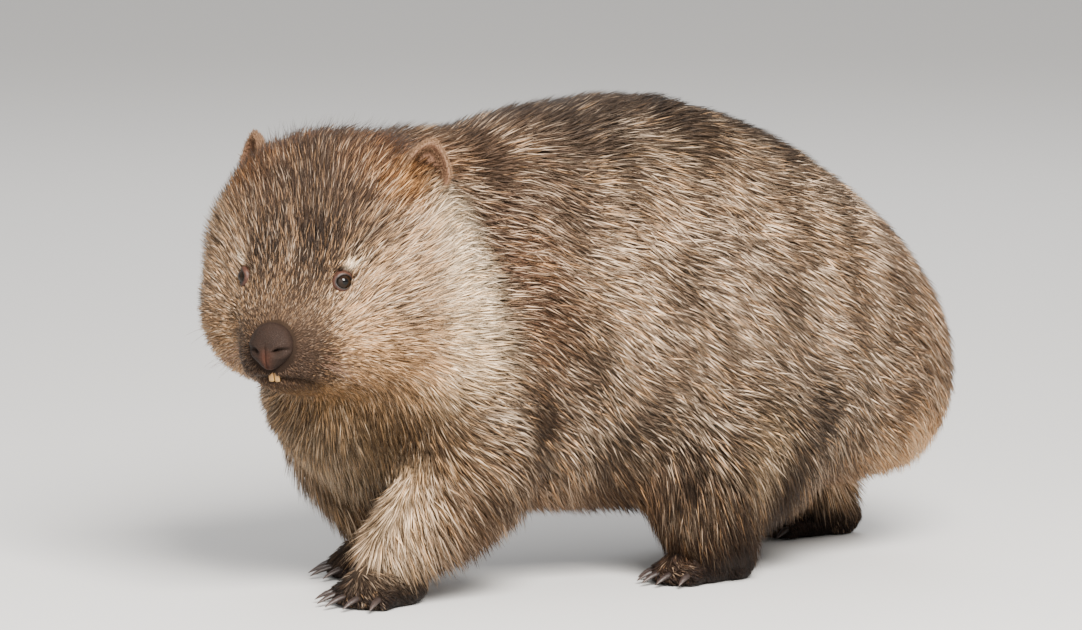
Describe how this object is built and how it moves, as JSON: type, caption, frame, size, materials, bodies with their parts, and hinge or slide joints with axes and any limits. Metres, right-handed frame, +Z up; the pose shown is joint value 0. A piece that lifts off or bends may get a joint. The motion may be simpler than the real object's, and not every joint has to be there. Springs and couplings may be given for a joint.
{
  "type": "wombat",
  "caption": "Life-size common wombat, a still museum-style model walking on four feet with its head low and turned to its left.",
  "frame": {"origin": "floor under the middle of the bounding box", "axes": "+Z up, the animal faces -Y, its left side is at +X"},
  "size_m": [0.3228, 0.7558, 0.4285],
  "materials": {
    "body_fur": "grizzled brown-grey coat",
    "face_fur": "shorter, paler coat",
    "paw_skin": "dark bare skin and short fur",
    "nose_skin": "dark, bare, finely grained skin",
    "claw": "worn horn",
    "eye": "wet, glossy",
    "ear": "thin skin with fine hair",
    "tooth": "enamel"
  },
  "bodies": {
    "root": {"ear_left": "ear", "ear_right": "ear", "eye_left": "eye", "eye_right": "eye", "foot_left": "paw_skin", "foot_left_claw_1": "claw", "foot_left_claw_2": "claw", "foot_left_claw_3": "claw", "foot_left_claw_4": "claw", "foot_left_claw_5": "claw", "foot_right": "paw_skin", "foot_right_claw_1": "claw", "foot_right_claw_2": "claw", "foot_right_claw_3": "claw", "foot_right_claw_4": "claw", "foot_right_claw_5": "claw", "foreleg_left": "body_fur", "foreleg_right": "body_fur", "head": "face_fur", "hindleg_left": "body_fur", "hindleg_right": "body_fur", "jaw": "face_fur", "neck": "body_fur", "nose": "nose_skin", "paw_left": "paw_skin", "paw_left_claw_1": "claw", "paw_left_claw_2": "claw", "paw_left_claw_3": "claw", "paw_left_claw_4": "claw", "paw_left_claw_5": "claw", "paw_right": "paw_skin", "paw_right_claw_1": "claw", "paw_right_claw_2": "claw", "paw_right_claw_3": "claw", "paw_right_claw_4": "claw", "paw_right_claw_5": "claw", "tail": "body_fur", "tooth_left": "tooth", "tooth_right": "tooth", "torso": "body_fur"}
  },
  "joints": []
}
